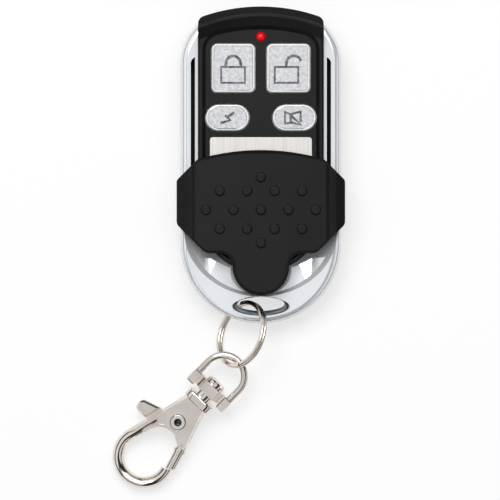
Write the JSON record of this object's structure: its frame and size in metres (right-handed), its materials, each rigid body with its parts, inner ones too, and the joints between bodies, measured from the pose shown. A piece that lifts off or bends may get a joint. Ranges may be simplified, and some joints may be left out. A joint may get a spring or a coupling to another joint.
{
  "type": "remote transmitter",
  "caption": "Key-fob remote transmitter in a chromed frame with a slide cover over its buttons, a red lamp, a split ring and a swivel trigger clasp.",
  "frame": {"origin": "middle of the fob's flat back face, halfway between the lamp end and the eyelet end", "axes": "+X to the fob's right, +Y towards its lamp end, +Z out of its front"},
  "size_m": [0.0443, 0.0916, 0.0125],
  "materials": {
    "black_plastic": "fine-grained black ABS",
    "chromed_frame": "bright chrome plate",
    "silver_caps": "satin silver paint",
    "brushed_plate": "vertical brushing",
    "red_lamp": "clear red epoxy",
    "nickel_plate": "bright nickel plate",
    "spring_steel": "drawn wire",
    "board_laminate": "green solder mask",
    "black_moulding": "epoxy moulding",
    "tinned_metal": "tin plate",
    "copper_wire": "enamelled copper",
    "screw_steel": "blackened steel"
  },
  "bodies": {
    "root": {"front_casing": "black_plastic", "back_casing": "black_plastic", "chrome_frame": "chromed_frame", "label_plate": "brushed_plate", "switch_bases": "black_moulding", "switch_covers": "tinned_metal", "circuit_board": "board_laminate", "led": "red_lamp", "battery": "tinned_metal", "positive_contact": "tinned_metal", "negative_contact": "tinned_metal", "encoder_chip": "black_moulding", "saw_resonator": "tinned_metal", "small_components": "black_moulding", "antenna_loop": "copper_wire", "case_screws": "screw_steel"},
    "cover": {"slide_cover": "black_plastic"},
    "lock_key": {"lock_button": "silver_caps", "lock_stem": "black_moulding"},
    "unlock_key": {"unlock_button": "silver_caps", "unlock_stem": "black_moulding"},
    "flash_key": {"flash_button": "silver_caps", "flash_stem": "black_moulding"},
    "mute_key": {"mute_button": "silver_caps", "mute_stem": "black_moulding"},
    "ring": {"split_ring": "nickel_plate"},
    "bail": {"swivel_bail": "nickel_plate"},
    "hook": {"clasp_body": "nickel_plate", "swivel_post": "nickel_plate", "trigger_rivet": "nickel_plate", "trigger_spring": "spring_steel"},
    "trigger": {"clasp_trigger": "nickel_plate"}
  },
  "joints": [
    {"name": "cover_slide", "type": "slide", "parent": "root", "child": "cover", "axis": [0, 1, 0], "range_m": [0, 0.0206]},
    {"name": "lock_press", "type": "slide", "parent": "root", "child": "lock_key", "axis": [0, 0, -1], "range_m": [0, 0.0003], "stiffness_N_per_m": 400},
    {"name": "unlock_press", "type": "slide", "parent": "root", "child": "unlock_key", "axis": [0, 0, -1], "range_m": [0, 0.0003], "stiffness_N_per_m": 400},
    {"name": "flash_press", "type": "slide", "parent": "root", "child": "flash_key", "axis": [0, 0, -1], "range_m": [0, 0.0003], "stiffness_N_per_m": 400},
    {"name": "mute_press", "type": "slide", "parent": "root", "child": "mute_key", "axis": [0, 0, -1], "range_m": [0, 0.0003], "stiffness_N_per_m": 400},
    {"name": "ring_swing", "type": "hinge", "parent": "root", "child": "ring", "pos_m": [-0.001, -0.0289, 0.005], "axis": [-1, 0, 0], "range_deg": [-10, 40]},
    {"name": "bail_swing", "type": "hinge", "parent": "ring", "child": "bail", "pos_m": [-0.00432, -0.03722, 0.00524], "axis": [-0.7133, 0.7009, 0], "range_deg": [-12, 40]},
    {"name": "hook_swivel", "type": "hinge", "parent": "bail", "child": "hook", "pos_m": [-0.01114, -0.04416, 0.00405], "axis": [0.6957, 0.7079, 0.1219], "continuous": true},
    {"name": "trigger_pivot", "type": "hinge", "parent": "hook", "child": "trigger", "pos_m": [-0.01566, -0.04876, 0.00326], "axis": [0.0854, 0.0869, -0.9925], "range_deg": [0, 25], "stiffness_Nm_per_rad": 0.1, "springref_deg": -4.58, "deforming": ["trigger_spring"]}
  ]
}
